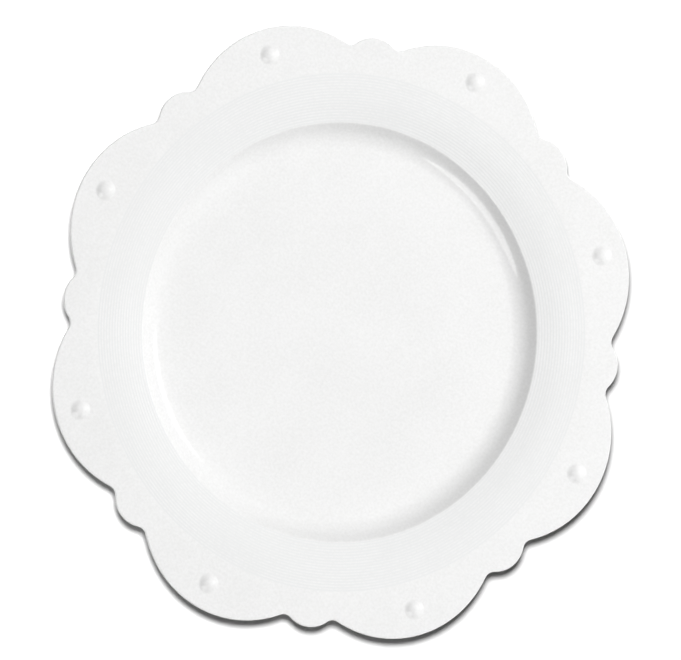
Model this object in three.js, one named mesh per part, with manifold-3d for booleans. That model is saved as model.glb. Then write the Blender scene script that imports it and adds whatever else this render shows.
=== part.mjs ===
// Round porcelain plate with a scalloped rim, in millimetres, +Z up.
// The origin is the centre of the plane that the foot ring stands on, and +X runs through a large lobe.
// The plate is one fired body. Each large lobe carries a bead, pressed apart and set in a shallow seat.
import * as THREE from 'three';
import { mergeVertices } from 'three/addons/utils/BufferGeometryUtils.js';
import Module from 'manifold-3d';

// Well: the flat floor and the wall that rises from it to the shoulder
const WELL_RADIUS = 101.9;
const WELL_DEPTH = 6;
const WALL_ANGLE = THREE.MathUtils.degToRad(41);
const WELL_FILLET = 15;
const SHOULDER_ROUNDING = 3;

// Rim: a sloping inner band, then a level outer band out to the lobe tips
const INNER_BAND_WIDTH = 24.3;
const INNER_BAND_RISE = 2.6;
const INNER_BAND_CROWN = 0.35;
const INNER_BAND_ROUNDING = 95;
const OUTER_BAND_WIDTH = 26.3;

// Scalloped outline: large lobes with a small lobe between each two
const LOBE_COUNT = 8;
const LOBE_DEPTH = 23.3;
const SMALL_LOBE_PROJECTION = 14.8;
const SMALL_LOBE_RADIUS = 14.5;
const NOTCH_FILLET = 5;

// Thickness of the fired body
const FLOOR_THICKNESS = 5;
const WALL_THICKNESS = 4.6;
const RIM_THICKNESS = 4;
const EDGE_THICKNESS = 3.2;

// Edge: a blunt nose under the top face, drawn in below to the underside
const EDGE_NOSE = 1.1;
const EDGE_DRAW = 2.2;
const EDGE_ROUNDING = 0.6;
const UNDER_EDGE_ROUNDING = 1;

// Foot ring under the floor
const FOOT_HEIGHT = 3;
const FOOT_FLAT = 3.6;
const FOOT_DRAFT = 1.2;
const FOOT_INSET = 6.5;
const FOOT_ROUNDING = 0.8;
const UNDERSIDE_FILLET = 2;

// Beads: low domes, each bedded in slip in its seat
const BEAD_RADIUS = 5.2;
const BEAD_HEIGHT = 1.6;
const BEAD_ROOT = 0.6;
const BEAD_INSET = 12.8;
const SLIP_JOINT = 0.3;

// Facets
const LOBE_STEPS = 10;
const SMALL_LOBE_STEPS = 4;
const NOTCH_STEPS = 2;
const SECTION_STEPS = 1;
const BEAD_SIDES = 20;
const BEAD_STEPS = 2;

// Places that follow from those sizes
const BAND_RADIUS = WELL_RADIUS + INNER_BAND_WIDTH;
const TIP_RADIUS = BAND_RADIUS + OUTER_BAND_WIDTH;
const FLOOR_HEIGHT = FOOT_HEIGHT + FLOOR_THICKNESS;
const SHOULDER_HEIGHT = FLOOR_HEIGHT + WELL_DEPTH;
const RIM_HEIGHT = SHOULDER_HEIGHT + INNER_BAND_RISE;
const LOBE_PITCH = (2 * Math.PI) / LOBE_COUNT;

const wasm = await Module();
wasm.setup();

const glaze = () => new THREE.MeshStandardMaterial({ color: 0xf2f2f1, roughness: 0.1, metalness: 0 });

function toSolid(geometry) {
  const bare = geometry.clone();
  bare.deleteAttribute('normal');
  bare.deleteAttribute('uv');
  const merged = mergeVertices(bare);
  const vertProperties = new Float32Array(merged.getAttribute('position').array);
  const triVerts = new Uint32Array(merged.getIndex().array);
  return new wasm.Manifold(new wasm.Mesh({ numProp: 3, vertProperties, triVerts }));
}

function toGeometry(solid) {
  const { vertProperties, triVerts } = solid.getMesh();
  const geometry = new THREE.BufferGeometry();
  geometry.setAttribute('position', new THREE.BufferAttribute(vertProperties, 3));
  geometry.setIndex(new THREE.BufferAttribute(triVerts, 1));
  geometry.computeVertexNormals();
  return geometry;
}

// One repeat of the outline, from the notch before a large lobe on +X to the notch after it, then the
// small lobe that follows. Each notch is an arc that touches the large and the small circle from outside.
function lobeRepeat() {
  const crossing = TIP_RADIUS - LOBE_DEPTH;
  const halfPitch = LOBE_PITCH / 2;
  const largeCentreX = (TIP_RADIUS ** 2 - crossing ** 2) / (2 * (TIP_RADIUS - crossing * Math.cos(halfPitch)));
  const largeCentre = new THREE.Vector2(largeCentreX, 0);
  const largeRadius = TIP_RADIUS - largeCentreX;

  const smallCentreRadius = crossing + SMALL_LOBE_PROJECTION - SMALL_LOBE_RADIUS;
  const smallCentre = new THREE.Vector2(smallCentreRadius, 0).rotateAround(new THREE.Vector2(), halfPitch);

  // The notch arc's centre is known by its distance from the other two centres.
  const across = smallCentre.clone().sub(largeCentre);
  const span = across.length();
  const toLarge = largeRadius + NOTCH_FILLET;
  const toSmall = SMALL_LOBE_RADIUS + NOTCH_FILLET;
  const along = (toLarge ** 2 - toSmall ** 2 + span ** 2) / (2 * span);
  const aside = Math.sqrt(toLarge ** 2 - along ** 2);
  const direction = across.divideScalar(span);
  const outward = new THREE.Vector2(direction.y, -direction.x);
  const notchCentre = largeCentre.clone().addScaledVector(direction, along).addScaledVector(outward, aside);

  const bearing = (from, to) => to.clone().sub(from).angle();
  const largeEnd = bearing(largeCentre, notchCentre);
  const notchStart = bearing(notchCentre, largeCentre);
  const notchEnd = bearing(notchCentre, smallCentre);
  const smallStart = bearing(smallCentre, notchCentre) - 2 * Math.PI;
  const smallEnd = LOBE_PITCH - smallStart;

  const farNotch = notchCentre.clone().rotateAround(new THREE.Vector2(), -halfPitch);
  farNotch.y *= -1;
  farNotch.rotateAround(new THREE.Vector2(), halfPitch);
  const mirrored = (angle) => LOBE_PITCH - angle;

  const arc = (centre, radius, start, end, clockwise, steps) =>
    new THREE.EllipseCurve(centre.x, centre.y, radius, radius, start, end, clockwise).getPoints(steps);
  return [
    arc(largeCentre, largeRadius, -largeEnd, largeEnd, false, LOBE_STEPS),
    arc(notchCentre, NOTCH_FILLET, notchStart, notchEnd, true, NOTCH_STEPS),
    arc(smallCentre, SMALL_LOBE_RADIUS, smallStart, smallEnd, false, SMALL_LOBE_STEPS),
    arc(farNotch, NOTCH_FILLET, mirrored(notchEnd), mirrored(notchStart), true, NOTCH_STEPS),
  ].flatMap((points) => points.slice(0, -1));
}

// The whole outline: the repeat turned round the plate once for each large lobe
function scallopedOutline() {
  const repeat = lobeRepeat();
  const centre = new THREE.Vector2();
  return Array.from({ length: LOBE_COUNT }, (_, lobe) =>
    repeat.map((point) => point.clone().rotateAround(centre, lobe * LOBE_PITCH)),
  ).flat();
}

// Straight runs between corners [radius, height, rounding], with a tangent arc at each rounded corner.
// An arc that has no room for its rounding is limited by the shorter run beside it.
function roundedRuns(corners) {
  const path = new THREE.Path();
  const places = corners.map(([x, y]) => new THREE.Vector2(x, y));
  path.moveTo(places[0].x, places[0].y);
  for (let i = 1; i < corners.length; i += 1) {
    const rounding = corners[i][2];
    if (!rounding) {
      path.lineTo(places[i].x, places[i].y);
      continue;
    }
    const back = places[i - 1].clone().sub(places[i]);
    const ahead = places[i + 1].clone().sub(places[i]);
    const room = Math.min(back.length(), ahead.length()) / 2;
    back.normalize();
    ahead.normalize();
    const halfAngle = Math.acos(back.dot(ahead)) / 2;
    const reach = Math.min(rounding / Math.tan(halfAngle), room);
    const radius = reach * Math.tan(halfAngle);
    const start = places[i].clone().addScaledVector(back, reach);
    const end = places[i].clone().addScaledVector(ahead, reach);
    const middle = back.clone().add(ahead).normalize();
    const centre = places[i].clone().addScaledVector(middle, radius / Math.sin(halfAngle));
    const clockwise = back.cross(ahead) > 0;
    path.lineTo(start.x, start.y);
    path.absarc(centre.x, centre.y, radius, start.sub(centre).angle(), end.sub(centre).angle(), clockwise);
  }
  return path;
}

// Half section on a lobe axis: along the underside from the axis to the edge, then back over the top.
function plateSection() {
  const wallRun = WELL_DEPTH / Math.tan(WALL_ANGLE);
  const wallFootRadius = WELL_RADIUS - wallRun;
  const backOfWall = (height) => {
    const radius = wallFootRadius + WALL_THICKNESS * Math.sin(WALL_ANGLE);
    const level = FLOOR_HEIGHT - WALL_THICKNESS * Math.cos(WALL_ANGLE);
    return radius + (height - level) / Math.tan(WALL_ANGLE);
  };
  const rimUnder = SHOULDER_HEIGHT - RIM_THICKNESS;
  const wallBackRadius = backOfWall(FOOT_HEIGHT);
  const footOuter = wallBackRadius - FOOT_INSET;
  const footInner = footOuter - FOOT_FLAT - 2 * FOOT_DRAFT;

  const bandMiddle = (BAND_RADIUS + WELL_RADIUS) / 2;
  const crownHeight = RIM_HEIGHT - INNER_BAND_RISE / 2 + 2 * INNER_BAND_CROWN;
  const section = roundedRuns([
    [0, FOOT_HEIGHT],
    [footInner, FOOT_HEIGHT, UNDERSIDE_FILLET],
    [footInner + FOOT_DRAFT, 0, FOOT_ROUNDING],
    [footOuter - FOOT_DRAFT, 0, FOOT_ROUNDING],
    [footOuter, FOOT_HEIGHT, UNDERSIDE_FILLET],
    [wallBackRadius, FOOT_HEIGHT, WELL_FILLET],
    [backOfWall(rimUnder), rimUnder, SHOULDER_ROUNDING],
    [BAND_RADIUS, RIM_HEIGHT - RIM_THICKNESS],
    [TIP_RADIUS - EDGE_DRAW, RIM_HEIGHT - EDGE_THICKNESS, UNDER_EDGE_ROUNDING],
    [TIP_RADIUS, RIM_HEIGHT - EDGE_NOSE, UNDER_EDGE_ROUNDING],
    [TIP_RADIUS, RIM_HEIGHT, EDGE_ROUNDING],
    [BAND_RADIUS, RIM_HEIGHT],
    [bandMiddle, crownHeight, INNER_BAND_ROUNDING],
    [WELL_RADIUS, SHOULDER_HEIGHT, SHOULDER_ROUNDING],
    [wallFootRadius, FLOOR_HEIGHT, WELL_FILLET],
    [0, FLOOR_HEIGHT],
  ]);
  return section.getPoints(SECTION_STEPS);
}

// The section is revolved, and beyond the inner band it is drawn in from the circle through the lobe tips
// to the scalloped outline. The rounded edge moves whole, and the level band takes up the change.
function plateShell() {
  const outline = scallopedOutline();
  const section = plateSection();
  const shell = new THREE.LatheGeometry(section, outline.length);
  const position = shell.getAttribute('position');
  const bandEnd = TIP_RADIUS - EDGE_DRAW - UNDER_EDGE_ROUNDING;
  for (let i = 0; i < position.count; i += 1) {
    const point = outline[Math.floor(i / section.length) % outline.length];
    const { x: radius, y: height } = section[i % section.length];
    const share = THREE.MathUtils.clamp((radius - BAND_RADIUS) / (bandEnd - BAND_RADIUS), 0, 1);
    const drawn = radius + share * (point.length() - TIP_RADIUS);
    const angle = point.angle();
    position.setXYZ(i, drawn * Math.cos(angle), drawn * Math.sin(angle), height);
  }
  return shell;
}

const beadPlace = (lobe) => {
  const reach = TIP_RADIUS - BEAD_INSET;
  return new THREE.Vector3(reach, 0, RIM_HEIGHT).applyAxisAngle(new THREE.Vector3(0, 0, 1), lobe * LOBE_PITCH);
};

// Round seat for a bead, sunk in the level band
function beadSeat(lobe) {
  const depth = BEAD_ROOT + SLIP_JOINT;
  const seat = new THREE.CylinderGeometry(BEAD_RADIUS + SLIP_JOINT, BEAD_RADIUS + SLIP_JOINT, 2 * depth, BEAD_SIDES);
  seat.rotateX(Math.PI / 2);
  const place = beadPlace(lobe);
  seat.translate(place.x, place.y, place.z);
  return seat;
}

// Bead: a short root in the seat, and above the rim a spherical cap
function beadGeometry() {
  const sphereRadius = (BEAD_RADIUS ** 2 + BEAD_HEIGHT ** 2) / (2 * BEAD_HEIGHT);
  const sphereHeight = BEAD_HEIGHT - sphereRadius;
  const capEdge = Math.atan2(-sphereHeight, BEAD_RADIUS);
  const section = new THREE.Path();
  section.moveTo(0, -BEAD_ROOT);
  section.lineTo(BEAD_RADIUS, -BEAD_ROOT);
  section.lineTo(BEAD_RADIUS, 0);
  section.absarc(0, sphereHeight, sphereRadius, capEdge, Math.PI / 2, false);
  const points = section.getPoints(BEAD_STEPS);
  points[points.length - 1].x = 0;
  const bead = new THREE.LatheGeometry(points, BEAD_SIDES);
  bead.rotateX(Math.PI / 2);
  return bead;
}

const plate = new THREE.Group();
plate.name = 'porcelain_plate';

const seats = Array.from({ length: LOBE_COUNT }, (_, lobe) => toSolid(beadSeat(lobe)));
const body = seats.reduce((solid, seat) => solid.subtract(seat), toSolid(plateShell()));
const plateBody = new THREE.Mesh(toGeometry(body), glaze());
plateBody.name = 'plate_body';
plate.add(plateBody);

for (let lobe = 0; lobe < LOBE_COUNT; lobe += 1) {
  const bead = new THREE.Mesh(beadGeometry(), glaze());
  bead.name = `bead_${lobe + 1}`;
  bead.position.copy(beadPlace(lobe));
  plate.add(bead);
}

export default plate;
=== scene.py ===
import math

import bpy
import numpy as np
from mathutils import Matrix, Vector


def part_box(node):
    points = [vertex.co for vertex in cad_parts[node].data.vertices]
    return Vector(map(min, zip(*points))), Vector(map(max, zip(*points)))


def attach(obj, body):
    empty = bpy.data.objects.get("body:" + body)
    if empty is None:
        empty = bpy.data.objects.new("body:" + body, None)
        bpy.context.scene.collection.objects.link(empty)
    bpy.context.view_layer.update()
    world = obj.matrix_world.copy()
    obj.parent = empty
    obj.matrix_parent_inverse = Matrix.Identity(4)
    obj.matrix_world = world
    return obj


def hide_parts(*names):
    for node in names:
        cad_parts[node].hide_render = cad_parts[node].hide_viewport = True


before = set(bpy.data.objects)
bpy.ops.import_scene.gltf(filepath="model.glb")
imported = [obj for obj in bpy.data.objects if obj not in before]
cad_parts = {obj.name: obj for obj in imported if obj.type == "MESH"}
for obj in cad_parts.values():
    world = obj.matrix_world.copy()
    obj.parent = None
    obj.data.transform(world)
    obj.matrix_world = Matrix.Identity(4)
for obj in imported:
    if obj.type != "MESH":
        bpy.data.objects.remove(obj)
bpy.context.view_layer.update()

# Round porcelain plate with a scalloped rim. Sizes are in millimetres, and meshes go to Blender in metres.
MM = 0.001

# Sizes and places that the frame gives
plate_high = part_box("plate_body")[1]
bead_low, bead_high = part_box("bead_1")
BEAD_NODES = sorted(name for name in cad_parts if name.startswith("bead_"))
LOBE_COUNT = len(BEAD_NODES)
LOBE_PITCH = 2 * math.pi / LOBE_COUNT
TIP_RADIUS = plate_high.x / MM
RIM_HEIGHT = plate_high.z / MM
BEAD_REACH = (bead_low.x + bead_high.x) / 2 / MM
BEAD_HEIGHT = bead_high.z / MM - RIM_HEIGHT

# Well: the floor dishes up a little on its way to the wall
WELL_RADIUS = 101.9
WELL_DEPTH = 6.0
WALL_ANGLE = math.radians(41)
WELL_FILLET = 15.0
SHOULDER_ROUNDING = 2.0
DISH_WIDTH = 9.0
DISH_RISE = 0.35
DISH_ROUNDING = 100.0

# Inner band: it rises from the well to the rim, and its middle corner stands above its chord by the crown
INNER_BAND_WIDTH = 24.3
INNER_BAND_RISE = 2.6
INNER_BAND_CROWN = 0.7
INNER_BAND_ROUNDING = 95.0
BAND_RADIUS = WELL_RADIUS + INNER_BAND_WIDTH
SHOULDER_HEIGHT = RIM_HEIGHT - INNER_BAND_RISE
FLOOR_HEIGHT = SHOULDER_HEIGHT - WELL_DEPTH

# Reeding: fine rings pressed into the inner band, with a plain land left beside the shoulder
REED_COUNT = 17
REED_DEPTH = 0.03
REED_LAND = 0.5

# Scalloped outline
LOBE_DEPTH = 23.3
SMALL_LOBE_PROJECTION = 14.8
SMALL_LOBE_RADIUS = 14.5
NOTCH_FILLET = 5.0

# Thickness of the body, and its foot ring
WALL_THICKNESS = 4.6
RIM_THICKNESS = 4.0
EDGE_THICKNESS = 3.2
EDGE_NOSE = 1.1
EDGE_DRAW = 2.2
EDGE_ROUNDING = 0.6
UNDER_EDGE_ROUNDING = 1.0
FOOT_HEIGHT = 3.0
FOOT_FLAT = 3.6
FOOT_DRAFT = 1.2
FOOT_INSET = 6.5
FOOT_ROUNDING = 0.8
UNDERSIDE_FILLET = 2.0
BARE_EDGE_HEIGHT = 0.35

# Beads: low domes that flare out into the rim. Glaze fills a little round their foot and bridges the joint,
# where they sink into the rim. The bend is the share of the radius at which the crown turns into the flare.
BEAD_RADIUS = 5.6
BEAD_BEND = 0.67
BEAD_GLAZE_FILL = 0.15
BEAD_SINK = 0.03
BEAD_BASE_DEPTH = 2 * BEAD_SINK

# Mesh: the finest step along a path, the stretch that smooths its crowding, and the steps that are kept
PATH_STEP = 0.05
CROWDING_STRETCH = 4.0
ROWS_PER_REED = 6
FLAT_STEP = 6.0
BEND_STEP = math.radians(5)
UNDER_BEND_STEP = math.radians(14)
OUTLINE_STEP = 4.0
OUTLINE_BEND_STEP = math.radians(18)
BEAD_RINGS = 24
BEAD_BASE_RINGS = 6
BEAD_SIDES = 64

# Glazed porcelain: its body's palest and greyest white, its greyer white in the grooves, which is pooled
# glaze and painted shade, and its patterns
BODY_PALE = "#FCFCFC"
BODY_GREY = "#E6E6E5"
# The grooves' greyer white is partly pooled glaze and partly painted shade in the grooves
POOLED_GLAZE_AND_GROOVE_SHADE = "#ECEDED"
CLOUD_SIZE = 35.0
SPECK_SIZE = 1.3
SPECK_SHARE = 0.66
GLAZE_FLOW_SIZE = 14.0
GLAZE_RIPPLE = 0.02
GLAZE_SMOOTHEST = 0.06
GLAZE_ROUGHEST = 0.11
PORCELAIN_IOR = 1.5

# Bare porcelain of the foot
BARE_PALE = "#E9E5DC"
BARE_WARM = "#DAD4C8"
BARE_GRAIN_SIZE = 0.5
BARE_GRAIN_DEPTH = 0.1
BARE_GRAIN_STRENGTH = 0.6
BARE_ROUGHNESS = 0.8

# Floor paper: its reach and where it fades into the white of the room, in metres, and its glow to the
# underside. The plate sees the paper a little duller than the camera does. Rays that have bounced once, off
# the plate, see the glow, and rays that have bounced twice don't, so the limit lies between.
WHITE = "#FFFFFF"
PAPER = "#CBCBCB"
DULL_PAPER = "#BEBEBE"
FLOOR_REACH = 3.0
FADE_START = 0.2
FADE_END = 0.5
FLOOR_GLOW = 0.5
BOUNCE_LIMIT = 1.5

# The view: image axes in the plate's frame, the tilt away from straight above, and the scale
IMAGE_WIDTH = 681
IMAGE_HEIGHT = 660
PIXEL = 0.4855
VIEW_TURN = math.radians(29.5)
VIEW_TILT = math.radians(-19.9)
RIM_CENTRE_PIXEL = (342.2, 332.4)
LENS = 1200.0
SENSOR = 36.0
CAMERA_RANGE = 100.0

# Lamps: bearings run anticlockwise from the image's right, elevations up from the table, and widths are
# angles seen from the plate, all in degrees. Strengths are shares of the light at which a matt colour shows
# as it is written, and distances are in metres. The floor lamp stands in the camera's direction, moved up and
# to the right by shares of the distance.
PLAIN_LIGHT = math.pi
LAMP_DISTANCE = 4.2
KEY_BEARING = 11.0
KEY_ELEVATION = 66.0
KEY_WIDTH = 36.0
KEY_STRENGTH = 1.135
CARD_BEARING = 11.0
CARD_ELEVATION = 38.5
CARD_WIDTHS = (16.5, 18.5)
CARD_STRENGTH = 0.08
LOW_CARD_BEARING = 237.0
LOW_CARD_ELEVATION = 52.0
LOW_CARD_WIDTHS = (41.0, 24.0)
LOW_CARD_STRENGTH = 0.28
FLOOR_LAMP_UP = 0.16
FLOOR_LAMP_RIGHT = 0.007
FLOOR_LAMP_WIDTH = 11.5
FLOOR_LAMP_STRENGTH = 2.0
FLOOR_LAMP_DISTANCE = 2.9

# The room: its white as the glaze mirrors it, and the light that it adds
ROOM_MIRRORED = 0.6
ROOM_LIGHT = 0.08


def linear(hex_colour):
    """Linear red, green, blue and alpha of an sRGB colour such as "#F2F2F1"."""
    shares = np.array([int(hex_colour[i:i + 2], 16) for i in (1, 3, 5)]) / 255
    curve = np.where(shares <= 0.04045, shares / 12.92, ((shares + 0.055) / 1.055) ** 2.4)
    return (*curve.tolist(), 1.0)


def unit(vector):
    """The vector's direction, with a length of 1."""
    return vector / np.linalg.norm(vector)


def arc(centre, start, turn):
    """Points on an arc: the spoke from centre to start, turned by equal shares of the whole turn."""
    spoke = start - centre
    angles = np.linspace(0, turn, max(2, int(abs(turn) * np.linalg.norm(spoke) / PATH_STEP)))
    across = np.array([-spoke[1], spoke[0]])
    return centre + np.cos(angles)[:, None] * spoke + np.sin(angles)[:, None] * across


def rounded_runs(corners):
    """Straight runs between corners (radius, height, rounding). A rounded corner is an arc that leaves each
    run at rounding over the tangent of half the corner's angle, with its centre on the bisector."""
    places = np.array([corner[:2] for corner in corners])
    stretches = [places[:1]]
    for before, place, after, corner in zip(places, places[1:], places[2:], corners[1:]):
        rounding = corner[2]
        if rounding == 0:
            stretches.append(place[None])
            continue
        back = unit(before - place)
        ahead = unit(after - place)
        half_angle = math.acos(back @ ahead) / 2
        centre = place + unit(back + ahead) * rounding / math.sin(half_angle)
        start = place + back * rounding / math.tan(half_angle)
        side = math.copysign(1, ahead[0] * back[1] - ahead[1] * back[0])
        stretches.append(arc(centre, start, side * (math.pi - 2 * half_angle)))
    stretches.append(places[-1:])
    return np.concatenate(stretches)


def crowded(path, flat_step, bend_step, extra=None):
    """Points of a path, crowded where it bends: the count up to each place is its length over flat_step plus
    its turning over bend_step, smoothed, plus any extra count per millimetre."""
    length = np.concatenate([[0], np.cumsum(np.linalg.norm(np.diff(path, axis=0), axis=1))])
    even = np.linspace(0, length[-1], int(length[-1] / PATH_STEP))
    fine = np.stack([np.interp(even, length, path[:, axis]) for axis in (0, 1)], axis=1)
    run = np.diff(fine, axis=0)
    run_length = np.linalg.norm(run, axis=1)
    bearing = np.unwrap(np.arctan2(run[:, 1], run[:, 0]))
    turning = np.abs(np.gradient(bearing)) / bend_step
    window = np.hanning(int(CROWDING_STRETCH / PATH_STEP))
    smooth = np.convolve(np.pad(turning, len(window), "reflect"), window / window.sum(), "same")
    density = run_length / flat_step + smooth[len(window):-len(window)]
    if extra is not None:
        density = density + extra(fine[1:]) * run_length
    count = np.concatenate([[0], np.cumsum(density)])
    places = np.linspace(0, count[-1], math.ceil(count[-1]) + 1)
    return np.stack([np.interp(places, count, fine[:, axis]) for axis in (0, 1)], axis=1)


def lobe_repeat():
    """Angles and radii of one repeat of the outline: a large circle through the lobe's tip and the two
    crossings beside it, a small circle between two lobes, and at each crossing an arc that touches both
    circles from outside."""
    crossing = TIP_RADIUS - LOBE_DEPTH
    half_pitch = LOBE_PITCH / 2
    large_x = (TIP_RADIUS ** 2 - crossing ** 2) / (2 * (TIP_RADIUS - crossing * math.cos(half_pitch)))
    large = np.array([large_x, 0.0])
    large_radius = TIP_RADIUS - large_x
    small_reach = crossing + SMALL_LOBE_PROJECTION - SMALL_LOBE_RADIUS
    small = small_reach * np.array([math.cos(half_pitch), math.sin(half_pitch)])

    span = np.linalg.norm(small - large)
    along = unit(small - large)
    outward = np.array([along[1], -along[0]])
    to_large = large_radius + NOTCH_FILLET
    to_small = SMALL_LOBE_RADIUS + NOTCH_FILLET
    notch_along = (to_large ** 2 - to_small ** 2 + span ** 2) / (2 * span)
    notch = large + along * notch_along + outward * math.sqrt(to_large ** 2 - notch_along ** 2)

    large_end = large + unit(notch - large) * large_radius
    small_start = small + unit(notch - small) * SMALL_LOBE_RADIUS
    half_lobe = math.atan2(large_end[1] - large[1], large_end[0] - large[0])
    notch_from = math.atan2(large_end[1] - notch[1], large_end[0] - notch[0])
    notch_to = math.atan2(small_start[1] - notch[1], small_start[0] - notch[0])
    notch_turn = (notch_to - notch_from) % (2 * math.pi) - 2 * math.pi
    small_from = math.atan2(small_start[1] - small[1], small_start[0] - small[0])
    half = np.concatenate([
        arc(large, np.array([TIP_RADIUS, 0.0]), half_lobe),
        arc(notch, large_end, notch_turn)[1:],
        arc(small, small_start, half_pitch - small_from)[1:],
    ])
    stations = crowded(half, OUTLINE_STEP, OUTLINE_BEND_STEP)
    radius = np.hypot(stations[:, 0], stations[:, 1])
    angle = np.arctan2(stations[:, 1], stations[:, 0])
    # The second half mirrors the first, less the two points on the mirror lines
    mirrored = slice(-2, 0, -1)
    return np.concatenate([angle, LOBE_PITCH - angle[mirrored]]), np.concatenate([radius, radius[mirrored]])


def reeded(points):
    """1 on the reeded top of the inner band and 0 elsewhere."""
    radius, height = points[:, 0], points[:, 1]
    on_band = (radius > WELL_RADIUS + REED_LAND) & (radius < BAND_RADIUS)
    return np.where(on_band & (height > SHOULDER_HEIGHT), 1.0, 0.0)


def plate_section():
    """Half section on a lobe's axis, along the underside from the middle to the edge and back over the top,
    with its rows closer on the top than below."""
    wall_foot = WELL_RADIUS - WELL_DEPTH / math.tan(WALL_ANGLE)
    dish_edge = wall_foot + DISH_RISE / math.tan(WALL_ANGLE)
    under_wall = wall_foot + WALL_THICKNESS * math.sin(WALL_ANGLE)
    under_level = FLOOR_HEIGHT - WALL_THICKNESS * math.cos(WALL_ANGLE)
    rim_under = SHOULDER_HEIGHT - RIM_THICKNESS
    wall_back = under_wall + (FOOT_HEIGHT - under_level) / math.tan(WALL_ANGLE)
    rim_root = under_wall + (rim_under - under_level) / math.tan(WALL_ANGLE)
    foot_outer = wall_back - FOOT_INSET
    foot_inner = foot_outer - FOOT_FLAT - 2 * FOOT_DRAFT
    band_middle = (BAND_RADIUS + WELL_RADIUS) / 2
    band_peak = RIM_HEIGHT - INNER_BAND_RISE / 2 + INNER_BAND_CROWN
    path = rounded_runs([
        (0, FOOT_HEIGHT, 0),
        (foot_inner, FOOT_HEIGHT, UNDERSIDE_FILLET),
        (foot_inner + FOOT_DRAFT, 0, FOOT_ROUNDING),
        (foot_outer - FOOT_DRAFT, 0, FOOT_ROUNDING),
        (foot_outer, FOOT_HEIGHT, UNDERSIDE_FILLET),
        (wall_back, FOOT_HEIGHT, WELL_FILLET),
        (rim_root, rim_under, SHOULDER_ROUNDING),
        (BAND_RADIUS, RIM_HEIGHT - RIM_THICKNESS, 0),
        (TIP_RADIUS - EDGE_DRAW, RIM_HEIGHT - EDGE_THICKNESS, UNDER_EDGE_ROUNDING),
        (TIP_RADIUS, RIM_HEIGHT - EDGE_NOSE, UNDER_EDGE_ROUNDING),
        (TIP_RADIUS, RIM_HEIGHT, EDGE_ROUNDING),
        (BAND_RADIUS, RIM_HEIGHT, 0),
        (band_middle, band_peak, INNER_BAND_ROUNDING),
        (WELL_RADIUS, SHOULDER_HEIGHT, SHOULDER_ROUNDING),
        (dish_edge, FLOOR_HEIGHT + DISH_RISE, WELL_FILLET),
        (dish_edge - DISH_WIDTH, FLOOR_HEIGHT, DISH_ROUNDING),
        (0, FLOOR_HEIGHT, 0),
    ])
    edge = np.argmax(path[:, 0])
    under = crowded(path[:edge + 1], FLAT_STEP, UNDER_BEND_STEP)
    reed_rows = REED_COUNT * ROWS_PER_REED / INNER_BAND_WIDTH
    top = crowded(path[edge:], FLAT_STEP, BEND_STEP, lambda points: reeded(points) * reed_rows)
    return np.concatenate([under, top[1:]])


def revolved_mesh(name, rings, poles, attributes):
    """A closed mesh from rings of points, shaped (rows, columns, 3) in millimetres: quads between
    neighbouring rings, and a fan from the first and the last ring to its pole."""
    rows, columns = rings.shape[:2]
    points = np.concatenate([rings.reshape(-1, 3), np.array(poles)]) * MM
    index = np.arange(rows * columns).reshape(rows, columns)
    after = np.roll(index, -1, axis=1)
    quads = np.stack([index[:-1], after[:-1], after[1:], index[1:]], axis=-1).reshape(-1, 4)
    first = np.full(columns, rows * columns)
    last = first + 1
    fans = np.concatenate([
        np.stack([first, after[0], index[0]], axis=-1),
        np.stack([last, index[-1], after[-1]], axis=-1),
    ])
    mesh = bpy.data.meshes.new(name)
    mesh.from_pydata(points.tolist(), [], quads.tolist() + fans.tolist())
    mesh.polygons.foreach_set("use_smooth", np.ones(len(mesh.polygons), dtype=bool))
    for label, values in attributes.items():
        layer = mesh.attributes.new(label, "FLOAT", "POINT")
        layer.data.foreach_set("value", values.astype(np.float32))
    piece = bpy.data.objects.new(name, mesh)
    bpy.context.scene.collection.objects.link(piece)
    return piece


def plate_piece():
    """The section carried round the outline. A point at a radius outside the inner band is drawn in by its
    share of the level band times the gap between the tip circle and the outline there. The reeding lowers
    the inner band by half its depth times one less the cosine of the ring's phase, and its grooves get a
    greyer colour, which is both pooled glaze and painted shade."""
    section = plate_section()
    repeat_angle, repeat_radius = lobe_repeat()
    turns = np.arange(LOBE_COUNT) * LOBE_PITCH
    angle = (turns[:, None] + repeat_angle).ravel()
    outline = np.tile(repeat_radius, LOBE_COUNT)

    radius, height = section[1:-1, 0], section[1:-1, 1]
    phase = 2 * np.pi * (BAND_RADIUS - radius) * REED_COUNT / INNER_BAND_WIDTH
    groove = reeded(section[1:-1]) * (1 - np.cos(phase)) / 2
    height = height - REED_DEPTH * groove
    level_width = TIP_RADIUS - EDGE_DRAW - UNDER_EDGE_ROUNDING - BAND_RADIUS
    share = np.clip((radius - BAND_RADIUS) / level_width, 0, 1)
    reach = radius[:, None] + share[:, None] * (outline - TIP_RADIUS)
    rings = np.stack([
        reach * np.cos(angle),
        reach * np.sin(angle),
        np.broadcast_to(height[:, None], reach.shape),
    ], axis=-1)
    poles = [(0, 0, section[0, 1]), (0, 0, section[-1, 1])]
    # Greyer colour in the grooves: pooled glaze and painted shade
    pool_and_shade = np.concatenate([np.repeat(groove, len(angle)), [0, 0]])
    plate = revolved_mesh("plate", rings, poles, {"glaze_pool_and_groove_shade": pool_and_shade})
    plate.data.materials.append(glazed_porcelain)
    plate.data.materials.append(bare_porcelain)
    faces = np.empty(len(plate.data.polygons) * 3)
    plate.data.polygons.foreach_get("center", faces)
    bare = faces.reshape(-1, 3)[:, 2] < BARE_EDGE_HEIGHT * MM
    plate.data.polygons.foreach_set("material_index", bare.astype(np.int32))
    return plate


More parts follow.
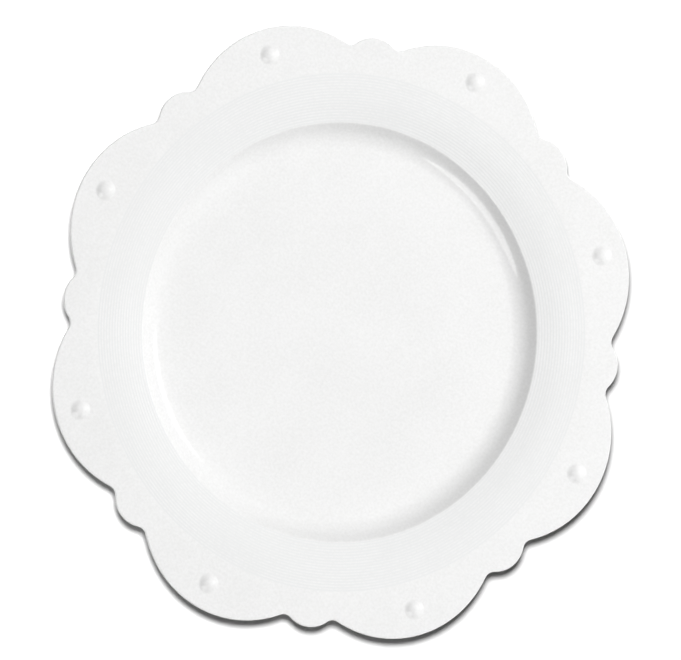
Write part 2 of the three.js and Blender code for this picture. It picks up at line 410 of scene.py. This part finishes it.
def bead_piece(node, turn):
    """A dome in two parabolas that meet at the bend with one slope. With s the share of the radius and b the
    bend, the height is one less s squared over b on the crown, and one less s, squared, over one less b on
    the flare, which runs out level. A flat base closes it below."""
    share = np.linspace(0, 1, BEAD_RINGS + 1)[1:]
    crown = 1 - share ** 2 / BEAD_BEND
    flare = (1 - share) ** 2 / (1 - BEAD_BEND)
    shown = BEAD_HEIGHT - BEAD_GLAZE_FILL
    dome = np.where(share < BEAD_BEND, crown, flare) * (shown + BEAD_SINK) - BEAD_SINK
    base = np.linspace(1, 0, BEAD_BASE_RINGS + 1)[1:-1]
    radius = BEAD_RADIUS * np.concatenate([base[::-1], share[::-1]])
    height = RIM_HEIGHT + np.concatenate([np.full(len(base), -BEAD_BASE_DEPTH), dome[::-1]])
    angle = np.linspace(0, 2 * np.pi, BEAD_SIDES, endpoint=False)
    centre = BEAD_REACH * np.array([math.cos(turn), math.sin(turn)])
    rings = np.stack([
        centre[0] + radius[:, None] * np.cos(angle),
        centre[1] + radius[:, None] * np.sin(angle),
        np.broadcast_to(height[:, None], (len(height), BEAD_SIDES)),
    ], axis=-1)
    poles = [(*centre, RIM_HEIGHT - BEAD_BASE_DEPTH), (*centre, RIM_HEIGHT + shown)]
    no_pool_no_shade = np.zeros(rings[..., 0].size + len(poles))
    bead = revolved_mesh(f"{node}_dome", rings, poles, {"glaze_pool_and_groove_shade": no_pool_no_shade})
    bead.data.materials.append(glazed_porcelain)
    return bead


def floor_piece():
    """One level square under the plate, as far out each way as the floor's reach."""
    corners = FLOOR_REACH * np.array([(-1, -1, 0), (1, -1, 0), (1, 1, 0), (-1, 1, 0)])
    mesh = bpy.data.meshes.new("floor")
    mesh.from_pydata(corners.tolist(), [], [(0, 1, 2, 3)])
    mesh.materials.append(floor_paper)
    floor = bpy.data.objects.new("floor", mesh)
    bpy.context.scene.collection.objects.link(floor)
    return floor


def add_node(tree, kind, settings, links):
    """Add a node: a setting goes to the input socket of that name or else to the node's own property, and a
    link names an input socket and the output that feeds it. A number names a socket by its place in the
    list."""
    node = tree.nodes.new(kind)
    for name, value in settings.items():
        if isinstance(name, int) or name in node.inputs:
            node.inputs[name].default_value = value
        else:
            setattr(node, name, value)
    for name, output in links.items():
        tree.links.new(output, node.inputs[name])
    return node


def empty_material(name):
    """A new material and its node tree, with no nodes yet."""
    material = bpy.data.materials.new(name)
    material.use_nodes = True
    material.node_tree.nodes.clear()
    return material, material.node_tree


def per_metre(size):
    """Noise scale at which one patch is about this many millimetres across."""
    return 1 / (size * MM)


# Hard white porcelain, cast and fired under a clear gloss glaze: a bright neutral white that is a shade
# greyer in the grooves, as pooled glaze and painted shade, mirror-like highlights, and a slow ripple in them
# from the glaze's flow in the kiln.
def make_glazed_porcelain():
    material, tree = empty_material("gloss_glazed_porcelain")
    place = add_node(tree, "ShaderNodeTexCoord", {}, {})
    cloud = add_node(tree, "ShaderNodeTexNoise", {"Scale": per_metre(CLOUD_SIZE), "Detail": 2.0},
                     {"Vector": place.outputs["Object"]})
    speck = add_node(tree, "ShaderNodeTexNoise", {"Scale": per_metre(SPECK_SIZE), "Detail": 1.0},
                     {"Vector": place.outputs["Object"]})
    mottle = add_node(tree, "ShaderNodeMix", {"data_type": "FLOAT", 0: SPECK_SHARE},
                      {2: cloud.outputs["Fac"], 3: speck.outputs["Fac"]})
    body = add_node(tree, "ShaderNodeMix", {"data_type": "RGBA", 6: linear(BODY_PALE), 7: linear(BODY_GREY)},
                    {0: mottle.outputs[0]})
    # Greyer white in the grooves of the reeding: pooled glaze and painted shade
    pool_and_shade = add_node(tree, "ShaderNodeAttribute", {"attribute_name": "glaze_pool_and_groove_shade"}, {})
    colour = add_node(tree, "ShaderNodeMix", {"data_type": "RGBA", 7: linear(POOLED_GLAZE_AND_GROOVE_SHADE)},
                      {0: pool_and_shade.outputs["Fac"], 6: body.outputs[2]})
    flow = add_node(tree, "ShaderNodeTexNoise", {"Scale": per_metre(GLAZE_FLOW_SIZE), "Detail": 2.0},
                    {"Vector": place.outputs["Object"]})
    gloss = add_node(tree, "ShaderNodeMapRange", {"To Min": GLAZE_SMOOTHEST, "To Max": GLAZE_ROUGHEST},
                     {"Value": flow.outputs["Fac"]})
    ripple = add_node(tree, "ShaderNodeBump", {"Strength": 1.0, "Distance": GLAZE_RIPPLE * MM},
                      {"Height": flow.outputs["Fac"]})
    surface = add_node(tree, "ShaderNodeBsdfPrincipled", {"IOR": PORCELAIN_IOR},
                       {"Base Color": colour.outputs[2], "Roughness": gloss.outputs["Result"],
                        "Normal": ripple.outputs["Normal"]})
    add_node(tree, "ShaderNodeOutputMaterial", {}, {"Surface": surface.outputs["BSDF"]})
    return material


# Bare porcelain, wiped of glaze so that the foot does not stick in the kiln: matt, faintly warm and
# fine-grained. The real grain is too fine to show, so it is drawn at half a millimetre.
def make_bare_porcelain():
    material, tree = empty_material("bare_fired_porcelain")
    place = add_node(tree, "ShaderNodeTexCoord", {}, {})
    grain = add_node(tree, "ShaderNodeTexNoise", {"Scale": per_metre(BARE_GRAIN_SIZE), "Detail": 4.0},
                     {"Vector": place.outputs["Object"]})
    colour = add_node(tree, "ShaderNodeMix",
                      {"data_type": "RGBA", 6: linear(BARE_PALE), 7: linear(BARE_WARM)},
                      {0: grain.outputs["Fac"]})
    tooth = add_node(tree, "ShaderNodeBump",
                     {"Strength": BARE_GRAIN_STRENGTH, "Distance": BARE_GRAIN_DEPTH * MM},
                     {"Height": grain.outputs["Fac"]})
    surface = add_node(tree, "ShaderNodeBsdfPrincipled", {"IOR": PORCELAIN_IOR, "Roughness": BARE_ROUGHNESS},
                       {"Base Color": colour.outputs[2], "Normal": tooth.outputs["Normal"]})
    add_node(tree, "ShaderNodeOutputMaterial", {}, {"Surface": surface.outputs["BSDF"]})
    return material


# White paper under the plate: matt, and fading into the white of the room away from it. From below it is
# seen through, and the underside sees it glow a little, so that the foot shows. The glow isn't thrown on to
# the floor, so that the plate's shadow stays deep.
def make_floor_paper():
    material, tree = empty_material("white_matt_paper")
    material.cycles.emission_sampling = "NONE"
    path = add_node(tree, "ShaderNodeLightPath", {}, {})
    facing = add_node(tree, "ShaderNodeNewGeometry", {}, {})
    place = add_node(tree, "ShaderNodeTexCoord", {}, {})
    away = add_node(tree, "ShaderNodeVectorMath", {"operation": "LENGTH"}, {0: place.outputs["Object"]})
    fade = add_node(tree, "ShaderNodeMapRange", {"From Min": FADE_START, "From Max": FADE_END},
                    {"Value": away.outputs["Value"]})
    paper = add_node(tree, "ShaderNodeBsdfDiffuse", {"Color": linear(PAPER)}, {})
    dull = add_node(tree, "ShaderNodeBsdfDiffuse", {"Color": linear(DULL_PAPER)}, {})
    white = add_node(tree, "ShaderNodeEmission", {"Color": linear(WHITE)}, {})
    seen = add_node(tree, "ShaderNodeMixShader", {},
                    {0: fade.outputs["Result"], 1: paper.outputs["BSDF"], 2: white.outputs["Emission"]})
    first = add_node(tree, "ShaderNodeMath", {"operation": "LESS_THAN", 1: BOUNCE_LIMIT},
                     {0: path.outputs["Diffuse Depth"]})
    strength = add_node(tree, "ShaderNodeMath", {"operation": "MULTIPLY", 1: FLOOR_GLOW},
                        {0: first.outputs["Value"]})
    glow = add_node(tree, "ShaderNodeEmission", {"Color": linear(WHITE)},
                    {"Strength": strength.outputs["Value"]})
    thrown = add_node(tree, "ShaderNodeAddShader", {}, {0: dull.outputs["BSDF"], 1: glow.outputs["Emission"]})
    lit = add_node(tree, "ShaderNodeMixShader", {},
                   {0: path.outputs["Is Camera Ray"], 1: thrown.outputs["Shader"], 2: seen.outputs["Shader"]})
    clear = add_node(tree, "ShaderNodeBsdfTransparent", {}, {})
    surface = add_node(tree, "ShaderNodeMixShader", {},
                       {0: facing.outputs["Backfacing"], 1: lit.outputs["Shader"], 2: clear.outputs["BSDF"]})
    add_node(tree, "ShaderNodeOutputMaterial", {}, {"Surface": surface.outputs["Shader"]})
    return material


# The room is white to the eye and in the glaze, and adds a little light of its own
def make_white_room():
    room = bpy.data.worlds.new("studio")
    room.use_nodes = True
    tree = room.node_tree
    tree.nodes.clear()
    path = add_node(tree, "ShaderNodeLightPath", {}, {})
    mirrored = add_node(tree, "ShaderNodeMath", {"operation": "MULTIPLY", 1: ROOM_MIRRORED},
                        {0: path.outputs["Is Glossy Ray"]})
    seen = add_node(tree, "ShaderNodeMath", {"operation": "MAXIMUM"},
                    {0: path.outputs["Is Camera Ray"], 1: path.outputs["Is Transmission Ray"]})
    shown = add_node(tree, "ShaderNodeMath", {"operation": "MAXIMUM"},
                     {0: seen.outputs["Value"], 1: mirrored.outputs["Value"]})
    level = add_node(tree, "ShaderNodeMath", {"operation": "MAXIMUM", 1: ROOM_LIGHT},
                     {0: shown.outputs["Value"]})
    white = add_node(tree, "ShaderNodeBackground", {"Color": linear(WHITE)},
                     {"Strength": level.outputs["Value"]})
    add_node(tree, "ShaderNodeOutputWorld", {}, {"Surface": white.outputs["Background"]})
    return room


def heading(bearing, elevation):
    """Direction to a lamp, from its bearing and its elevation in degrees."""
    turn = math.radians(bearing)
    lift = math.radians(elevation)
    level = right * math.cos(turn) + upward * math.sin(turn)
    return level * math.cos(lift) + vertical * math.sin(lift)


def add_lamp(name, direction, strength, shape, widths, lit, distance=LAMP_DISTANCE):
    """An area lamp that shines from a direction on the given objects only. A side is twice the distance
    times the tangent of half the angle that it fills."""
    data = bpy.data.lights.new(name, "AREA")
    data.energy = strength * PLAIN_LIGHT * math.pi * distance ** 2
    data.shape = shape
    for side, width in zip(("size", "size_y"), widths):
        setattr(data, side, 2 * distance * math.tan(math.radians(width) / 2))
    lamp = bpy.data.objects.new(name, data)
    lamp.rotation_euler = direction.to_track_quat("Z", "Y").to_euler()
    lamp.location = direction * distance
    lamp.visible_camera = False
    bpy.context.scene.collection.objects.link(lamp)
    receivers = bpy.data.collections.new(f"lit_by_{name}")
    for thing in lit:
        receivers.objects.link(thing)
    lamp.light_linking.receiver_collection = receivers
    return lamp


glazed_porcelain = make_glazed_porcelain()
bare_porcelain = make_bare_porcelain()
floor_paper = make_floor_paper()

# The plate and its beads
plate = plate_piece()
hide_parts("plate_body")
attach(plate, "root")
beads = []
for order, node in enumerate(BEAD_NODES):
    bead = bead_piece(node, order * LOBE_PITCH)
    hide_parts(node)
    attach(bead, "root")
    beads.append(bead)

floor = floor_piece()

# Image axes: to the right, up, and towards the camera, which leans to the left of straight above
right = Vector((math.cos(VIEW_TURN), math.sin(VIEW_TURN), 0))
upward = Vector((-math.sin(VIEW_TURN), math.cos(VIEW_TURN), 0))
vertical = Vector((0, 0, 1))
to_camera = vertical * math.cos(VIEW_TILT) + right * math.sin(VIEW_TILT)
camera_right = right * math.cos(VIEW_TILT) - vertical * math.sin(VIEW_TILT)

# Camera: aimed so that the middle of the rim falls on its pixel
camera_data = bpy.data.cameras.new("camera")
camera_data.lens = LENS
camera_data.sensor_width = SENSOR
camera_data.clip_end = CAMERA_RANGE
camera = bpy.data.objects.new("camera", camera_data)
rim_centre = vertical * RIM_HEIGHT * MM
offset_right = (IMAGE_WIDTH / 2 - RIM_CENTRE_PIXEL[0]) * PIXEL * MM
offset_up = (RIM_CENTRE_PIXEL[1] - IMAGE_HEIGHT / 2) * PIXEL * MM
aim = rim_centre + camera_right * offset_right + upward * offset_up
camera_distance = IMAGE_WIDTH * PIXEL * MM * LENS / SENSOR
camera.matrix_world = Matrix((
    (camera_right.x, upward.x, to_camera.x, 0),
    (camera_right.y, upward.y, to_camera.y, 0),
    (camera_right.z, upward.z, to_camera.z, 0),
    (0, 0, 0, 1),
))
camera.location = aim + to_camera * camera_distance
bpy.context.scene.collection.objects.link(camera)
bpy.context.scene.camera = camera

# The key lights the porcelain and isn't mirrored in it. The cards are only mirrored: one draws the line in
# the left of the well, and the low one draws the strip at its upper right. The floor lamp draws the shadow.
porcelain = [plate, *beads]
key = add_lamp("key", heading(KEY_BEARING, KEY_ELEVATION), KEY_STRENGTH, "DISK", (KEY_WIDTH,), porcelain)
key.visible_glossy = False
card = add_lamp("card", heading(CARD_BEARING, CARD_ELEVATION), CARD_STRENGTH, "RECTANGLE",
                CARD_WIDTHS, porcelain)
card.visible_diffuse = False
low_card = add_lamp("low_card", heading(LOW_CARD_BEARING, LOW_CARD_ELEVATION), LOW_CARD_STRENGTH, "ELLIPSE",
                    LOW_CARD_WIDTHS, porcelain)
low_card.visible_diffuse = False
to_floor_lamp = (to_camera + upward * FLOOR_LAMP_UP + right * FLOOR_LAMP_RIGHT).normalized()
add_lamp("floor_lamp", to_floor_lamp, FLOOR_LAMP_STRENGTH, "DISK", (FLOOR_LAMP_WIDTH,), [floor],
         FLOOR_LAMP_DISTANCE)

bpy.context.scene.world = make_white_room()
bpy.context.scene.view_settings.view_transform = "Standard"
